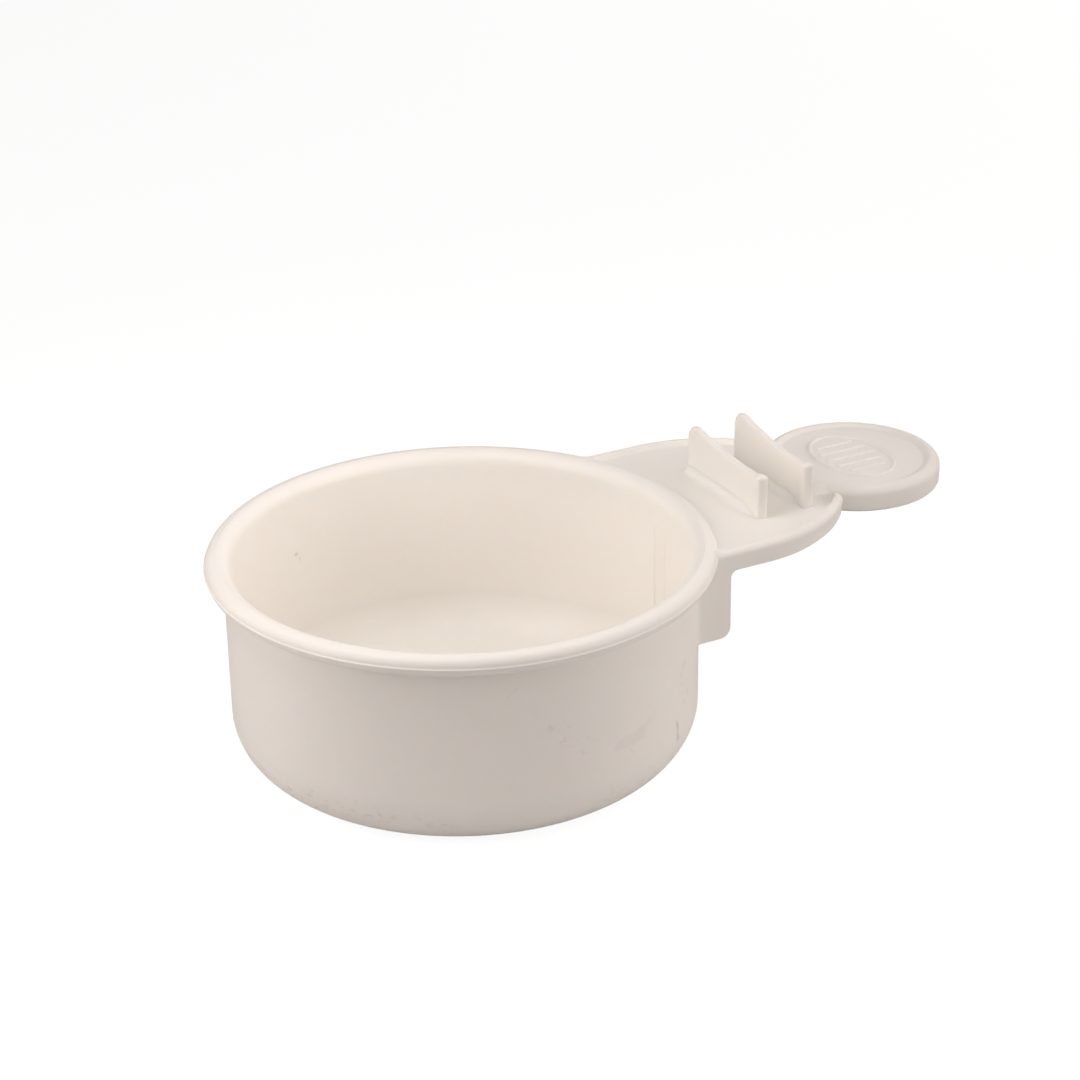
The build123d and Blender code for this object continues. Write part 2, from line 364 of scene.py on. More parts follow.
def handling_masks(tree, place):
    """Masks for the nicks and dots, for the creases, and for the scuffs, which are broken up by a noise."""
    rub = node(tree, "ShaderNodeTexNoise", -1600, -1300, inputs={
        "Scale": 480.0,
        "Detail": 4.0,
        "Roughness": 0.75,
    })
    tree.links.new(place.outputs["Object"], rub.inputs["Vector"])
    broken = ramp(tree, -1400, -1300, 0.52, 0.66)
    tree.links.new(rub.outputs["Fac"], broken.inputs["Value"])
    position = wander(tree, place, -3600, 0)
    dots = wear_mask(tree, place.outputs["Object"], DOTS, -2800, 2800)
    nicks = wear_mask(tree, position, NICKS, -2800, 1800)
    nicks = combine(tree, "MAXIMUM", nicks, dots, -1200, 1800)
    creases = wear_mask(tree, position, CREASES, -2800, 200)
    scuffs = wear_mask(tree, position, SCUFFS, -2800, -600)
    scuffs = combine(tree, "MULTIPLY", scuffs, broken.outputs["Result"], -1200, -1100)
    return nicks, creases, scuffs


def marked_colour(tree, tint, speck, nicks, creases, scuffs):
    """The plastic's colour, darkened by specks and handling marks."""
    stain = combine(tree, "MULTIPLY", scuffs, 0.15, -1000, -1000)
    stain = combine(tree, "MAXIMUM", stain, nicks, -800, -900)
    creased = combine(tree, "MULTIPLY", creases, 0.06, -800, -700)
    stain = combine(tree, "MAXIMUM", stain, creased, -600, -800)
    stain = combine(tree, "MAXIMUM", stain, speck, -400, -600)
    marked = node(tree, "ShaderNodeMix", -250, 400, data_type="RGBA")
    marked.inputs["B"].default_value = (0.36, 0.29, 0.22, 1)
    tree.links.new(stain, marked.inputs["Factor"])
    tree.links.new(tint, marked.inputs["A"])
    return marked.outputs["Result"]


def satin_roughness(tree, place, scuffs):
    """A satin roughness that varies slowly, and rises where the plastic is scuffed."""
    haze = node(tree, "ShaderNodeTexNoise", -1200, -250, inputs={
        "Scale": 160.0,
        "Detail": 5.0,
        "Roughness": 0.6,
    })
    tree.links.new(place.outputs["Object"], haze.inputs["Vector"])
    rough = ramp(tree, -900, -250, 0.3, 0.7, 0.38, 0.50)
    tree.links.new(haze.outputs["Fac"], rough.inputs["Value"])
    worn = combine(tree, "MULTIPLY", scuffs, 0.15, -700, -350)
    return combine(tree, "ADD", rough.outputs["Result"], worn, -500, -250)


def bump(tree, height, strength, distance, x, y, under=None, invert=False):
    """A bump laid over an earlier one."""
    made = node(tree, "ShaderNodeBump", x, y, invert=invert, inputs={
        "Strength": strength,
        "Distance": distance,
    })
    tree.links.new(height, made.inputs["Height"])
    if under is not None:
        tree.links.new(under, made.inputs["Normal"])
    return made.outputs["Normal"]


def surface_bumps(tree, place, nicks, creases, scuffs):
    """A slow ripple, the dents of the handling marks, and a fine grain over both."""
    grain = node(tree, "ShaderNodeTexNoise", 300, -600, inputs={"Scale": 2600.0, "Detail": 2.0})
    tree.links.new(place.outputs["Object"], grain.inputs["Vector"])
    ripple = node(tree, "ShaderNodeTexNoise", 300, -850, inputs={"Scale": 55.0, "Detail": 2.0})
    tree.links.new(place.outputs["Object"], ripple.inputs["Vector"])
    dents = combine(tree, "MULTIPLY", scuffs, 0.35, 300, -1100)
    dents = combine(tree, "ADD", dents, creases, 500, -1050)
    dents = combine(tree, "ADD", dents, nicks, 600, -1050)
    rippled = bump(tree, ripple.outputs["Fac"], 0.25, 0.4 * MM, 700, -700)
    dented = bump(tree, dents, 0.6, 0.3 * MM, 800, -850, under=rippled, invert=True)
    return bump(tree, grain.outputs["Fac"], 0.12, 0.05 * MM, 1000, -600, under=dented)


def moulded_plastic():
    """Satin off-white plastic with soft mottling, specks, and marks from handling."""
    material = bpy.data.materials.new("off_white_plastic")
    material.use_nodes = True
    tree = material.node_tree
    link = tree.links.new
    tree.nodes.clear()
    output = node(tree, "ShaderNodeOutputMaterial", 1500, 0)
    shader = node(tree, "ShaderNodeBsdfPrincipled", 1200, 0, inputs={
        "IOR": 1.49,
        "Subsurface Weight": 0.15,
        "Subsurface Radius": (1.0, 0.72, 0.5),
        "Subsurface Scale": 1.2 * MM,
        "Specular IOR Level": 0.42,
    })
    link(shader.outputs["BSDF"], output.inputs["Surface"])
    place = node(tree, "ShaderNodeTexCoord", -3000, 0)
    nicks, creases, scuffs = handling_masks(tree, place)
    tint = plastic_tint(tree, place)
    speck = speck_mask(tree, place)
    link(marked_colour(tree, tint, speck, nicks, creases, scuffs), shader.inputs["Base Color"])
    link(satin_roughness(tree, place, scuffs), shader.inputs["Roughness"])
    link(surface_bumps(tree, place, nicks, creases, scuffs), shader.inputs["Normal"])
    return material


plastic = moulded_plastic()


# ---------------------------------------------------------------- the cup
def build_cup_base():
    """Floor and rounded corner, closed by the ring where the wall starts."""
    corner = (WALL_RADIUS - BASE_CORNER, BASE_CORNER)
    profile = [(0.0, 0.0)]
    profile += line((0.0, 0.0), (corner[0], 0.0), 11)
    profile += arc(corner, BASE_CORNER, -90, 0, 22)
    profile += arc(corner, BASE_CORNER - WALL_THICKNESS, 0, -90, 20)
    profile += line((corner[0], WALL_THICKNESS), (0.0, WALL_THICKNESS), 11)
    profile += [(0.0, WALL_THICKNESS)]
    bm = bmesh.new()
    lathe(bm, profile, turned_angles(256))
    return make_piece("cup_base_shell", bm, ["cup_base"])


def sink_offsets():
    """Angles of the two sink lines inside the wall, one at each rib, and a fan of angles over both."""
    centres = [asin(side * RIB_OFFSET / INNER_RADIUS) for side in (-1, 1)]
    steps = [k * 0.14 * MM / INNER_RADIUS for k in range(-6, 7)]
    return centres, [centre + step for centre in centres for step in steps]


def build_cup_wall():
    """The straight wall, with two faint sink lines inside it opposite the ribs."""
    centres, fine_angles = sink_offsets()

    def sunk(radius, height, angle):
        if radius > INNER_RADIUS + 0.1 * MM:
            return radius
        turn = (angle + pi) % (2 * pi) - pi
        nearest = min(abs(turn - centre) for centre in centres) * radius
        across = smooth(1 - nearest / SINK_WIDTH)
        along = smooth((SINK_TOP - height) / (2 * MM)) * smooth((height - SINK_BOTTOM) / (4 * MM))
        return radius + SINK_DEPTH * across * along

    inner = line((INNER_RADIUS, RIM_START), (INNER_RADIUS, BASE_CORNER), 34)
    outer = line((WALL_RADIUS, BASE_CORNER), (WALL_RADIUS, RIM_START), 12)
    profile = [(INNER_RADIUS, RIM_START)] + inner + [(INNER_RADIUS, BASE_CORNER)]
    profile += [(WALL_RADIUS, BASE_CORNER)] + outer + [(WALL_RADIUS, RIM_START)]
    bm = bmesh.new()
    lathe(bm, profile, turned_angles(256, fine_angles), shift=sunk)
    return make_piece("cup_wall_shell", bm, ["cup_wall"])


def build_rim():
    """The rolled rim: a full bead, with the mould's raised parting line round its outside."""
    lip = BEAD_R - INNER_RADIUS
    upper = BEAD_RADIUS - 0.1 * MM
    profile = [(INNER_RADIUS, RIM_START), (WALL_RADIUS, RIM_START)]
    profile += arc((WALL_RADIUS + BEAD_FILLET, RIM_START), BEAD_FILLET, 180, 90, 7)[1:]
    profile += arc((BEAD_R, BEAD_Z), upper, -72, -44, 6)
    profile += arc((BEAD_R, BEAD_Z), upper + 0.12 * MM, -40, -12, 6)
    profile += arc((BEAD_R + upper - 0.03 * MM, BEAD_Z - 0.05 * MM), BEAD_LINE, -62, 66, 8)
    profile += arc((BEAD_R, BEAD_Z), upper, 9, 90, 22)
    profile += arc((BEAD_R, CUP_HEIGHT - lip), lip, 90, 180, 20)[1:]
    profile += line((INNER_RADIUS, CUP_HEIGHT - lip), (INNER_RADIUS, RIM_START), 2)
    bm = bmesh.new()
    lathe(bm, profile, turned_angles(288))
    return make_piece("rolled_rim", bm, ["rim_bead"])


# ---------------------------------------------------------------- the handle's outline
class Outline:
    """One side of the handle in plan: a straight run, a wide corner, a taper and a rounded tip."""

    def __init__(self, corner_start, corner_radius, corner_turn, tip_radius, reach):
        self.corner_start = corner_start
        self.corner_radius = corner_radius
        self.tip_radius = tip_radius
        self.turned = corner_turn - 90
        self.corner_centre = (corner_start, corner_radius - HALF_WIDTH)
        swing = corner_radius - tip_radius
        tip_x = reach - tip_radius
        taper = (tip_x - corner_start - swing * sin(radians(corner_turn))) / cos(radians(corner_turn))
        tip_y = self.corner_centre[1] - swing * cos(radians(corner_turn)) + taper * sin(radians(corner_turn))
        self.tip_centre = (tip_x, tip_y)

    def points(self, inset, start_x):
        """The outline at a distance inside itself, from the cup to the nose, drawn on the -Y side."""
        tip_radius = max(self.tip_radius - inset, 0.06 * MM)
        steps = np.linspace(0, 1, 22)[:-1]
        found = [(start_x + (self.corner_start - start_x) * t, inset - HALF_WIDTH) for t in steps]
        found += arc(self.corner_centre, self.corner_radius - inset, -90, self.turned, 23)
        tip = arc(self.tip_centre, tip_radius, self.turned, 0, 11)
        found += line(found[-1], tip[0], 10)
        found += tip
        end = found[-1]
        flat = NOSE_LENGTH - NOSE_ROUNDING
        found += [(end[0], end[1] + flat * t) for t in (0.5, 1.0)]
        found += [(end[0], end[1] + flat + NOSE_ROUNDING * sin(a)) for a in np.linspace(0, pi / 2, 7)[1:]]
        return found


NOSE_STEPS = 8
near_outline = Outline(
    corner_start=69.2 * MM,
    corner_radius=42.6 * MM,
    corner_turn=44.8,
    tip_radius=2.1 * MM,
    reach=TIP_REACH + 1.15 * MM,
)
far_outline = Outline(
    corner_start=72.25 * MM,
    corner_radius=40.0 * MM,
    corner_turn=30.0,
    tip_radius=8.0 * MM,
    reach=TIP_REACH - 1.4 * MM,
)


def border_section():
    """The border's closed section, from its outer foot over the top and round inside.

    Each point is (inset near the cup, inset at the tip, height)."""
    top = BORDER_TOP
    rounding = BORDER_ROUNDING
    side = [(0.0, BORDER_BOTTOM), (0.0, BORDER_BOTTOM + 0.5 * MM)]
    side += line((0.0, BORDER_BOTTOM + 0.5 * MM), (0.0, top - rounding), 5)
    side += arc((rounding, top - rounding), rounding, 180, 90, 9)
    section = []
    for inset, height in side:
        draft = BORDER_DRAFT * max(0.0, (top - rounding - height) / (top - rounding - BORDER_BOTTOM))
        section.append((inset, inset + draft, height))
    for t in np.linspace(0, 1, 11)[1:]:
        drop = smooth(t) * (top - PLATE_TOP + 0.02 * MM)
        near_cup = BORDER_CREST + (BORDER_FLARE - BORDER_CREST) * t
        at_tip = BORDER_CREST + (BORDER_TIP_FLARE - BORDER_CREST) * t
        section.append((near_cup, at_tip, top - drop))
    skirt = 2.4 * MM
    foot = skirt - 0.2 * MM
    section += [(BORDER_FLARE, BORDER_TIP_FLARE, PLATE_TOP - 0.7 * MM)]
    section += [(skirt, skirt, PLATE_BOTTOM - 0.2 * MM)]
    inner = line((skirt, PLATE_BOTTOM - 0.2 * MM), (foot, BORDER_BOTTOM), 3) + [(foot, BORDER_BOTTOM)]
    section += [(inset, inset, height) for inset, height in inner]
    return section


def nose_height(z, past):
    """The height of a border point this far past the tip, where the nose rounds down to the plate."""
    into = past - (NOSE_LENGTH - NOSE_ROUNDING)
    if into <= 0 or z <= PLATE_TOP:
        return z
    base = PLATE_TOP - 0.05 * MM
    return base + (z - base) * sqrt(max(0.0, 1 - (into / NOSE_ROUNDING) ** 2))


def border_column(outline, near_cup, at_tip, height):
    """One lengthwise run of the border, as points on the -Y side.

    It starts inside the wall, or inside the bead above it, and rises a little to meet the bead."""
    lateral = HALF_WIDTH - near_cup
    start_radius = BORDER_START + BORDER_START_STEP * smooth((height - BORDER_STEP_HEIGHT) / MM)
    start_x = sqrt(max(start_radius ** 2 - lateral ** 2, 0.0))
    first = outline.points(near_cup, start_x)
    last = outline.points(at_tip, start_x)
    tip_end = len(first) - 1 - NOSE_STEPS
    column = []
    for k, (start, end) in enumerate(zip(first, last)):
        share = smooth((start[0] - TAPER_START) / TAPER_LENGTH)
        x = start[0] + (end[0] - start[0]) * share
        y = start[1] + (end[1] - start[1]) * share
        z = height
        if height > PLATE_TOP:
            from_bead = (sqrt(x * x + y * y) - LIFT_START) / LIFT_LENGTH
            lift = smooth(1 - from_bead) * 0.75 * MM
            z += lift * (height - PLATE_TOP) / (BORDER_TOP - PLATE_TOP)
        if k > tip_end:
            z = nose_height(z, start[1] - first[tip_end][1])
        column.append((x, y, z))
    return column


def build_border(name, node_name, side, outline):
    """A border, swept along the handle's outline from inside the rim to its rounded nose at the disc."""
    bm = bmesh.new()
    columns = []
    for near_cup, at_tip, height in border_section():
        column = border_column(outline, near_cup, at_tip, height)
        columns.append([bm.verts.new((x, side * -y, z)) for x, y, z in column])
    grid_faces(bm, columns, close_rows=True)
    bm.faces.new([column[0] for column in columns])
    bm.faces.new([column[-1] for column in columns])
    return make_piece(name, bm, [node_name])


def plate_edge(outline):
    """The plate's edge beside one border, as matching lists of y and x from the notch outwards."""
    run = outline.points(PLATE_INSET, 62 * MM)[:-NOSE_STEPS][::-1]
    return [-y for x, y in run], [x for x, y in run]


def plate_end(y, edges):
    """Where the plate ends at this y: inside the disc's ring, at the notch beside it, or at a border."""
    edge_y, edge_x = edges[-1 if y < 0 else 1]
    y = abs(y)
    disc_inside = DISC_RADIUS - 2.6 * MM
    notch = edge_x[0] + PLATE_INSET - 0.05 * MM
    if y <= disc_inside:
        on_disc = DISC_CENTRE - sqrt(max(disc_inside ** 2 - y * y, 0.0))
        if on_disc < notch:
            return on_disc
    if y < edge_y[0]:
        return notch
    return float(np.interp(y, edge_y, edge_x))


def plate_outline_ring(rows):
    """The vertices round the outside of a grid of rows."""
    ring = rows[0] + [row[-1] for row in rows[1:-1]]
    return ring + rows[-1][::-1] + [row[0] for row in rows[-2:0:-1]]


def build_plate():
    """The web between the borders, from inside the rim's bead to inside the disc's ring."""
    edges = {-1: plate_edge(near_outline), 1: plate_edge(far_outline)}
    half = HALF_WIDTH - PLATE_INSET
    widths = np.concatenate([
        np.linspace(-half, -21.4 * MM, 14),
        np.linspace(-21.0 * MM, -14.0 * MM, 15),
        np.linspace(-13.5 * MM, 13.5 * MM, 28),
        np.linspace(14.0 * MM, 21.0 * MM, 15),
        np.linspace(21.4 * MM, half, 14),
    ])
    bm = bmesh.new()
    top_rows = []
    bottom_rows = []
    for y in widths:
        start = sqrt(PLATE_START ** 2 - y * y)
        xs = np.linspace(start, plate_end(y, edges), 30)
        top_rows.append([bm.verts.new((x, y, PLATE_TOP)) for x in xs])
        bottom_rows.append([bm.verts.new((x, y, PLATE_BOTTOM)) for x in xs])
    grid_faces(bm, top_rows)
    grid_faces(bm, bottom_rows)
    rings = [plate_outline_ring(top_rows), plate_outline_ring(bottom_rows)]
    grid_faces(bm, rings, close_columns=True)
    return make_piece("plate_web", bm, ["handle_plate"])


# ---------------------------------------------------------------- under the handle
def build_gusset(name, node_name, side):
    """A gusset whose outer face is flush with the border's side and runs into the wall in a fillet."""
    outer_y = HALF_WIDTH
    inner_y = HALF_WIDTH - (gusset_high.y - gusset_low.y)
    bottom = gusset_low.z
    top = BORDER_BOTTOM
    corner = 2.8 * MM
    fillet = 2.0 * MM
    reach = gusset_high.x - fillet
    centre_radius = WALL_RADIUS + GUSSET_BLEND - 0.01 * MM
    centre_y = outer_y + GUSSET_BLEND
    centre_x = sqrt(centre_radius ** 2 - centre_y ** 2)
    touch = degrees(atan2(centre_y, centre_x)) - 180
    inside_wall = WALL_RADIUS - 0.9 * MM
    buried = inside_wall / centre_radius

    heights = [bottom + corner * (1 - cos(a)) for a in np.linspace(0, pi / 2, 11)]
    heights += list(np.linspace(bottom + corner, top - fillet, 9)[1:-1])
    heights += [top - fillet * (1 - sin(a)) for a in np.linspace(0, pi / 2, 9)]

    def reach_at(z):
        if z < bottom + corner:
            return reach - corner + sqrt(max(corner ** 2 - (bottom + corner - z) ** 2, 0.0))
        if z > top - fillet:
            return reach + fillet - sqrt(max(fillet ** 2 - (z - top + fillet) ** 2, 0.0))
        return reach

    bm = bmesh.new()
    rings = []
    for z in heights:
        end = reach_at(z)
        inner_start = sqrt(inside_wall ** 2 - inner_y ** 2)
        ring = [(centre_x * buried, centre_y * buried)]
        ring += arc((centre_x, centre_y), GUSSET_BLEND, touch, -90, 9)
        ring += line(ring[-1], (end - GUSSET_EDGE, outer_y), 3)
        ring += arc((end - GUSSET_EDGE, outer_y - GUSSET_EDGE), GUSSET_EDGE, 90, 0, 5)
        ring += arc((end - GUSSET_EDGE, inner_y + GUSSET_EDGE), GUSSET_EDGE, 0, -90, 5)
        ring += line(ring[-1], (inner_start, inner_y), 5)
        ring += [(inner_start, inner_y)]
        rings.append([bm.verts.new((x, -side * y, z)) for x, y in ring])
    grid_faces(bm, rings, close_columns=True)
    bm.faces.new(rings[0])
    bm.faces.new(rings[-1])
    return make_piece(name, bm, [node_name])


def build_rib(name, node_name, side):
    """A thin triangular rib under the plate, rounded along its free edge."""
    thickness = rib_high.y - rib_low.y
    centre_y = -side * RIB_OFFSET
    top = PLATE_BOTTOM + 0.3 * MM
    inside_wall = WALL_RADIUS - 1.0 * MM
    toe = (WALL_RADIUS + 3.0 * MM, rib_low.z)
    outline = [(rib_high.x, top), (rib_high.x, PLATE_BOTTOM - 3.0 * MM)]
    outline += line(outline[-1], toe, 16)
    outline += [toe, (inside_wall, rib_low.z), (inside_wall, top)]
    bm = bmesh.new()
    sides = []
    for y in (centre_y - thickness / 2, centre_y + thickness / 2):
        sides.append([bm.verts.new((x, y, z)) for x, z in outline])
    for ring in sides:
        bm.faces.new(ring)
    grid_faces(bm, sides, close_columns=True)
    free_edges = [e for e in bm.edges if len(e.link_faces) == 2 and e.calc_face_angle(0) > radians(60)
                  and min(v.co.x for v in e.verts) > WALL_RADIUS + 0.5 * MM]
    bmesh.ops.bevel(bm, geom=free_edges, offset=0.35 * MM, segments=3, profile=0.5, affect="EDGES")
    return make_piece(name, bm, [node_name])


# ---------------------------------------------------------------- fins
def fin_outline(near_end, far_end, low_height, hollow):
    """The blade's top, inset by its rounding: (y, height, outward y, outward z) from near to far."""
    inset = FIN_ROUNDING
    near_corner = 1.15 * MM
    corner_y = far_end - FIN_CORNER
    turn = asin((corner_y - FIN_RISE) / (hollow + FIN_CORNER))
    corner_z = low_height + hollow - (hollow + FIN_CORNER) * cos(turn)
    post_top = low_height + FIN_POST_STEP
    path = []
    for a in np.linspace(0, pi / 2, 5):
        y = near_end + near_corner - (near_corner - inset) * cos(a)
        z = post_top - near_corner + (near_corner - inset) * sin(a)
        path.append((y, z, -cos(a), sin(a)))
    post_end = near_end + FIN_POST
    step_end = post_end + 0.9 * MM
    level_run = list(np.linspace(path[-1][0], step_end, 12)[1:])
    level_run += list(np.linspace(step_end, FIN_RISE, 7)[1:])
    for y in level_run:
        step = FIN_POST_STEP * smooth((post_end + 0.7 * MM - y) / (1.5 * MM))
        path.append((y, low_height + step - inset, 0.0, 1.0))
    for a in np.linspace(0, turn, 34)[1:]:
        y = FIN_RISE + (hollow + inset) * sin(a)
        z = low_height + hollow - (hollow + inset) * cos(a)
        path.append((y, z, -sin(a), cos(a)))
    for a in np.linspace(-turn, pi / 2, 15)[1:]:
        y = corner_y + (FIN_CORNER - inset) * sin(a)
        z = corner_z + (FIN_CORNER - inset) * cos(a)
        path.append((y, z, sin(a), cos(a)))
    return path


def fin_half(near_end, y, z):
    """Half the blade's thickness: thicker at the near post, with a little draft down to the plate."""
    post = smooth(1 - (y - near_end - 1.9 * MM) / (1.9 * MM))
    blade = FIN_HALF + 0.12 * MM * (64 * MM - z) / (64 * MM - PLATE_TOP)
    return blade + (FIN_POST / 2 - blade) * post


def blade_section(bm, centre_x, near_end, point):
    """Vertices across the blade's rounded edge, from its left face to its right face."""
    y, z, out_y, out_z = point
    half = fin_half(near_end, y, z)
    made = []
    for a in np.linspace(0, pi, 13):
        out = FIN_ROUNDING * sin(a)
        made.append(bm.verts.new((centre_x - half * cos(a), y + out_y * out, z + out_z * out)))
    return made


def blade_edge(bm, centre_x, near_end, path):
    """Sections all round the blade's edge: up its near end, over the top and down its far end."""
    sections = []
    y, z = path[0][:2]
    for share in np.linspace(0, 1, FIN_ROWS + 1)[:-1]:
        sections.append((y, FIN_BASE + (z - FIN_BASE) * share, -1.0, 0.0))
    sections += path
    y, z = path[-1][:2]
    for share in np.linspace(1, 0, FIN_ROWS + 1)[1:]:
        sections.append((y, FIN_BASE + (z - FIN_BASE) * share, 1.0, 0.0))
    return [blade_section(bm, centre_x, near_end, point) for point in sections]


def blade_face(bm, centre_x, near_end, path, edge, side):
    """The blade's left or right face, inside its edge. Returns the vertices along its foot."""
    end = 0 if side < 0 else -1
    columns = [[row[end] for row in edge[:FIN_ROWS + 1]]]
    for point in path[1:-1]:
        y, z = point[:2]
        column = []
        for share in np.linspace(0, 1, FIN_ROWS + 1)[:-1]:
            height = FIN_BASE + (z - FIN_BASE) * share
            x = centre_x + side * fin_half(near_end, y, height)
            column.append(bm.verts.new((x, y, height)))
        columns.append(column + [edge[FIN_ROWS + len(columns)][end]])
    columns.append([row[end] for row in edge[FIN_ROWS + len(path) - 1:]][::-1])
    grid_faces(bm, columns)
    return [column[0] for column in columns]


def build_fin(name, node_name, low_height, hollow):
    """A blade with a hollow rounded top edge and a thicker near end, standing in a soft fillet."""
    low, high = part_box(node_name)
    centre_x = (low.x + high.x) / 2
    near_end, far_end = low.y, high.y
    path = fin_outline(near_end, far_end, low_height, hollow)
    bm = bmesh.new()
    edge = blade_edge(bm, centre_x, near_end, path)
    grid_faces(bm, edge)
    feet = [blade_face(bm, centre_x, near_end, path, edge, side) for side in (-1, 1)]
    grid_faces(bm, feet)
    bm.faces.new(edge[0])
    bm.faces.new(edge[-1])
    add_fin_foot(bm, centre_x, near_end, far_end)
    return make_piece(name, bm, [node_name], sharp_angle=50)


def add_fin_foot(bm, centre_x, near_end, far_end):
    """The fillet round the blade's foot: small at the near post and wider along the blade."""
    start = near_end + FIN_ROUNDING
    end = far_end - FIN_ROUNDING
    loop = []
    for y in np.linspace(start, end, 44):
        half = fin_half(near_end, y, PLATE_TOP)
        loop.append((-half, y, -1.0, 0.0))
    half_far = fin_half(near_end, end, PLATE_TOP)
    for a in np.linspace(0, pi, 13)[1:-1]:
        flat = half_far - FIN_ROUNDING
        loop.append((-cos(a) * FIN_ROUNDING - flat * cos(a), end + sin(a) * FIN_ROUNDING, -cos(a), sin(a)))
    for y in np.linspace(end, start, 44):
        half = fin_half(near_end, y, PLATE_TOP)
        loop.append((half, y, 1.0, 0.0))
    half_near = fin_half(near_end, start, PLATE_TOP)
    for a in np.linspace(0, pi, 13)[1:-1]:
        flat = half_near - FIN_ROUNDING
        loop.append((cos(a) * FIN_ROUNDING + flat * cos(a), start - sin(a) * FIN_ROUNDING, cos(a), -sin(a)))
    rows = []
    for x, y, out_x, out_y in loop:
        size = 0.5 * MM + 2.1 * MM * smooth((y - near_end - 1.5 * MM) / (9 * MM))
        row = []
        for a in np.linspace(0, pi / 2, 9):
            away = size * (1 - cos(a)) - 0.01 * MM
            up = size * (1 - sin(a)) - 0.01 * MM
            row.append(bm.verts.new((centre_x + x + out_x * away, y + out_y * away, PLATE_TOP + up)))
        under = PLATE_TOP - 0.4 * MM
        inside_x = centre_x + x - out_x * 0.3 * MM
        inside_y = y - out_y * 0.3 * MM
        row.append(bm.verts.new((centre_x + x + out_x * size, y + out_y * size, under)))
        row.append(bm.verts.new((inside_x, inside_y, under)))
        row.append(bm.verts.new((inside_x, inside_y, PLATE_TOP + size)))
        rows.append(row)
    grid_faces(bm, rows, close_rows=True, close_columns=True)


# ---------------------------------------------------------------- thumb disc
def build_disc_rim():
    """The disc's raised ring and its skirt."""
    rounding = 2.5 * MM
    foot = 1.2 * MM
    crest = DISC_RADIUS - 2.55 * MM
    skirt = DISC_RADIUS - 2.4 * MM
    profile = [(WEB_RADIUS, WEB_BOTTOM), (skirt - 0.25 * MM, WEB_BOTTOM)]
    profile += [(skirt, WEB_BOTTOM - 0.25 * MM)]
    profile += line((skirt, WEB_BOTTOM - 0.25 * MM), (skirt + 0.15 * MM, DISC_BOTTOM), 4)
    profile += [(skirt + 0.15 * MM, DISC_BOTTOM)]
    profile += arc((DISC_RADIUS - foot, DISC_BOTTOM + foot), foot, -90, 0, 6)
    profile += line((DISC_RADIUS, DISC_BOTTOM + foot), (DISC_RADIUS, DISC_TOP - rounding), 5)
    profile += arc((DISC_RADIUS - rounding, DISC_TOP - rounding), rounding, 0, 90, 12)
    profile += [(crest, DISC_TOP)]
    for t in np.linspace(0, 1, 9)[1:]:
        radius = crest - (crest - WEB_RADIUS) * t
        profile.append((radius, DISC_TOP - (DISC_TOP - WEB_TOP) * smooth(t)))
    bm = bmesh.new()
    lathe(bm, profile, turned_angles(160), centre_x=DISC_CENTRE)
    return make_piece("thumb_disc_rim", bm, ["disc_rim"])


def build_disc_web():
    """The disc's centre, level with the inside of its ring."""
    profile = [(0.0, WEB_BOTTOM)] + line((0.0, WEB_BOTTOM), (WEB_RADIUS, WEB_BOTTOM), 7)
    profile += [(WEB_RADIUS, WEB_BOTTOM), (WEB_RADIUS, WEB_TOP)]
    profile += line((WEB_RADIUS, WEB_TOP), (0.0, WEB_TOP), 9) + [(0.0, WEB_TOP)]
    bm = bmesh.new()
    lathe(bm, profile, turned_angles(160), centre_x=DISC_CENTRE)
    return make_piece("thumb_disc_web", bm, ["disc_web"])


def build_disc_neck():
    """The ramp from the disc's ring down to the plate, fading out where the notches are."""
    half_angle = 45.0
    fade_angle = 14.0
    longest = 4.8
    tucked_in = 0.3
    crest = DISC_RADIUS - 2.3 * MM
    drop = DISC_TOP - PLATE_TOP + 0.02 * MM
    bm = bmesh.new()
    tops = []
    unders = []
    for angle in np.linspace(-half_angle, half_angle, 61):
        fade = smooth((half_angle - abs(angle)) / fade_angle)
        foot = DISC_RADIUS + (longest * fade - tucked_in) * MM
        heading = radians(180 + angle)
        top = []
        under = []
        for t in np.linspace(0, 1, 18):
            radius = crest + (foot - crest) * t
            ramp_z = DISC_TOP - 0.03 * MM * (1 - t) - drop * smooth(t) ** 1.1
            x = DISC_CENTRE + radius * cos(heading)
            y = radius * sin(heading)
            top.append(bm.verts.new((x, y, ramp_z)))
            under.append(bm.verts.new((x, y, min(ramp_z, PLATE_TOP) - 0.8 * MM)))
        tops.append(top)
        unders.append(under)
    grid_faces(bm, tops)
    grid_faces(bm, unders)
    grid_faces(bm, [[row[0] for row in tops], [row[0] for row in unders]])
    grid_faces(bm, [[row[-1] for row in tops], [row[-1] for row in unders]])
    grid_faces(bm, [tops[0], unders[0]])
    grid_faces(bm, [tops[-1], unders[-1]])
    return make_piece("disc_neck", bm, [])


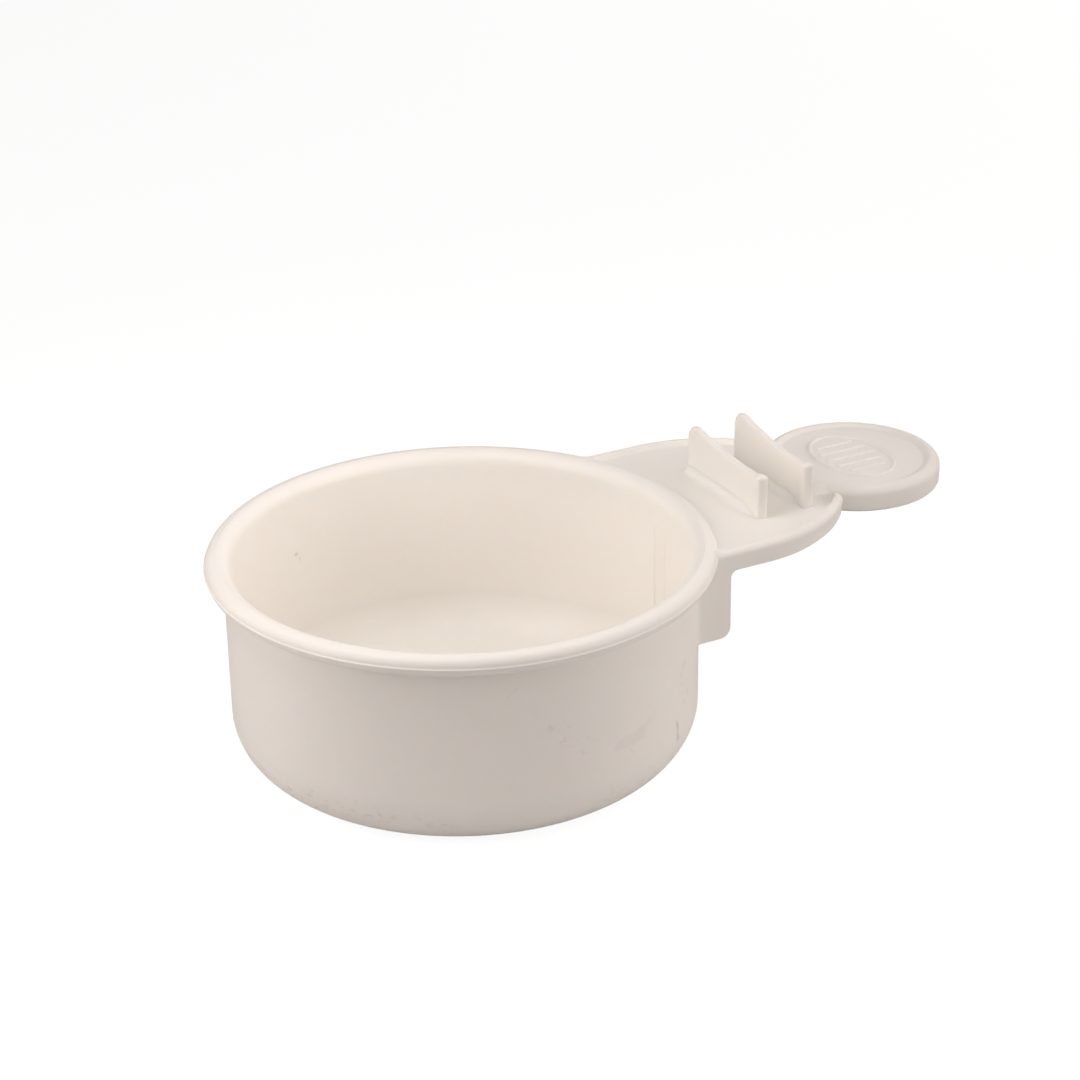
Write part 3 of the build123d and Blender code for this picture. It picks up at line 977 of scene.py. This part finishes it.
def build_grip_oval():
    """A low rounded line in an oval."""
    half_x = (oval_high.x - oval_low.x) / 2
    half_y = (oval_high.y - oval_low.y) / 2
    width = 1.3 * MM
    height = oval_high.z - oval_low.z
    bm = bmesh.new()
    rows = []
    for angle in np.linspace(0, 2 * pi, 120, endpoint=False):
        row = []
        for t in np.linspace(0, 1, 9):
            inset = width * t
            lift = height * sin(pi * t) ** 0.7 if 0 < t < 1 else -0.1 * MM
            x = DISC_CENTRE + (half_x - inset) * cos(angle)
            y = (half_y - inset) * sin(angle)
            row.append(bm.verts.new((x, y, WEB_TOP + lift)))
        for t in (0.85, 0.15):
            inset = width * t
            x = DISC_CENTRE + (half_x - inset) * cos(angle)
            y = (half_y - inset) * sin(angle)
            row.append(bm.verts.new((x, y, WEB_TOP - 0.25 * MM)))
        rows.append(row)
    grid_faces(bm, rows, close_rows=True, close_columns=True)
    return make_piece("grip_oval_line", bm, ["grip_oval"], sharp_angle=60)


def build_grip_ridges():
    """Five low ridges across the oval."""
    margin = 2.6 * MM
    half_x = (oval_high.x - oval_low.x) / 2 - margin
    half_y = (oval_high.y - oval_low.y) / 2 - margin
    spacing = 4.2 * MM
    width = 0.65 * MM
    height = oval_high.z - oval_low.z
    bm = bmesh.new()
    for step in range(-2, 3):
        offset = step * spacing
        reach = half_x * sqrt(1 - (offset / half_y) ** 2)
        rings = []
        for scale, lift in ((1.0, -0.2), (1.0, 0.0), (0.93, 0.32), (0.78, 0.66), (0.5, 0.9), (0.2, 1.0)):
            ring = []
            for end in (1, -1):
                for a in np.linspace(-90, 90, 9):
                    x = end * (reach - width + width * scale * cos(radians(a)))
                    y = end * width * scale * sin(radians(a))
                    ring.append(bm.verts.new((DISC_CENTRE + x, offset + y, WEB_TOP + height * lift)))
            rings.append(ring)
        grid_faces(bm, rings, close_columns=True)
        bm.faces.new(rings[0])
        bm.faces.new(rings[-1])
    return make_piece("grip_ridge_lines", bm, ["grip_ridges"], sharp_angle=60)


build_cup_base()
build_cup_wall()
build_rim()
build_plate()
build_border("near_border_edge", "near_border", -1, near_outline)
build_border("far_border_edge", "far_border", 1, far_outline)
build_gusset("near_gusset_web", "near_gusset", 1)
build_gusset("far_gusset_web", "far_gusset", -1)
build_rib("near_rib_web", "near_rib", 1)
build_rib("far_rib_web", "far_rib", -1)
build_fin("inner_fin_blade", "inner_fin", 64.5 * MM, 128.0 * MM)
build_fin("outer_fin_blade", "outer_fin", 65.0 * MM, 93.0 * MM)
build_disc_rim()
build_disc_web()
build_disc_neck()
build_grip_oval()
build_grip_ridges()


# ---------------------------------------------------------------- studio
TABLE_GLOW = 0.90
PLAIN_LIGHT = (1.0, 0.915, 0.885)
OVERHEAD_LIGHT = (0.985, 0.935, 0.930)


def build_floor(name, height, colour, glow):
    """A large level floor; glow is how brightly it is lit from within, as a light table is."""
    material = bpy.data.materials.new(name)
    material.use_nodes = True
    shader = material.node_tree.nodes["Principled BSDF"]
    shader.inputs["Base Color"].default_value = (colour, colour, colour, 1)
    shader.inputs["Roughness"].default_value = 0.9
    shader.inputs["Specular IOR Level"].default_value = 0.0
    shader.inputs["Emission Color"].default_value = (1, 1, 1, 1)
    shader.inputs["Emission Strength"].default_value = glow
    bm = bmesh.new()
    bmesh.ops.create_grid(bm, x_segments=8, y_segments=8, size=6.0)
    mesh = bpy.data.meshes.new(name)
    bm.to_mesh(mesh)
    bm.free()
    floor = bpy.data.objects.new(name, mesh)
    floor.location.z = height
    bpy.context.scene.collection.objects.link(floor)
    floor.data.materials.append(material)
    return floor


def build_floors():
    """The pale table that the camera sees, and the plain card under it that returns light to the object."""
    table = build_floor("light_table", -0.0002, 0.25, TABLE_GLOW)
    table.visible_diffuse = False
    table.visible_glossy = False
    table.visible_shadow = False
    card = build_floor("bounce_card", -0.0004, 0.75, 0.0)
    card.visible_camera = False


def area_light(name, place, target, size, power, colour=PLAIN_LIGHT):
    """A square softbox that faces a point and stays out of the picture itself."""
    data = bpy.data.lights.new(name, "AREA")
    data.shape = "SQUARE"
    data.size = size
    data.energy = power
    data.color = colour
    light = bpy.data.objects.new(name, data)
    light.location = place
    light.rotation_euler = (Vector(target) - Vector(place)).to_track_quat("-Z", "Y").to_euler()
    light.visible_camera = False
    bpy.context.scene.collection.objects.link(light)
    return light


def build_world():
    """A plain pale backdrop past the table, which the camera sees and which lights nothing."""
    world = bpy.data.worlds.new("studio")
    world.use_nodes = True
    world.node_tree.nodes["Background"].inputs["Color"].default_value = (1.0, 1.0, 1.0, 1)
    world.node_tree.nodes["Background"].inputs["Strength"].default_value = TABLE_GLOW
    world.cycles_visibility.diffuse = False
    world.cycles_visibility.glossy = False
    world.cycles_visibility.transmission = False
    world.cycles_visibility.scatter = False
    bpy.context.scene.world = world


def build_lights():
    """Small softboxes close over the bowl, and larger ones round it."""
    middle = (0.03, 0.0, 0.04)
    area_light("over_left", (-0.10, 0.0, 0.26), middle, 0.16, 0.27, OVERHEAD_LIGHT)
    area_light("over_right", (0.13, 0.0, 0.28), middle, 0.16, 0.125, OVERHEAD_LIGHT)
    area_light("over_front", (0.03, -0.14, 0.26), middle, 0.16, 0.095, OVERHEAD_LIGHT)
    area_light("left_near", (-0.34, -0.03, 0.20), middle, 0.22, 0.49)
    area_light("left_back", (-0.9, 0.9, 0.5), middle, 0.8, 2.8)
    area_light("right", (1.25, -0.1, 0.5), middle, 0.8, 4.3)
    area_light("right_front", (0.75, -1.05, 0.5), middle, 0.8, 6.3)
    area_light("right_back", (1.0, 0.85, 0.5), middle, 0.8, 2.2)


CAMERA_PLACE = (-0.274046, -0.561877, 0.34575)
CAMERA_RIGHT = (0.880964, -0.472954, -0.014751)
CAMERA_UP = (0.210733, 0.364236, 0.907151)
CAMERA_LENS = 90.6


def build_camera():
    """The camera: above and to the near side of the bowl, with a long lens."""
    data = bpy.data.cameras.new("camera")
    data.sensor_width = 36.0
    data.lens = CAMERA_LENS
    data.clip_start = 0.01
    data.clip_end = 30.0
    camera = bpy.data.objects.new("camera", data)
    right = Vector(CAMERA_RIGHT).normalized()
    up = Vector(CAMERA_UP).normalized()
    back = right.cross(up).normalized()
    up = back.cross(right)
    turn = Matrix((right, up, back)).transposed().to_4x4()
    camera.matrix_world = Matrix.Translation(CAMERA_PLACE) @ turn
    bpy.context.scene.collection.objects.link(camera)
    bpy.context.scene.camera = camera


build_floors()
build_world()
build_lights()
build_camera()
bpy.context.scene.view_settings.view_transform = "Standard"
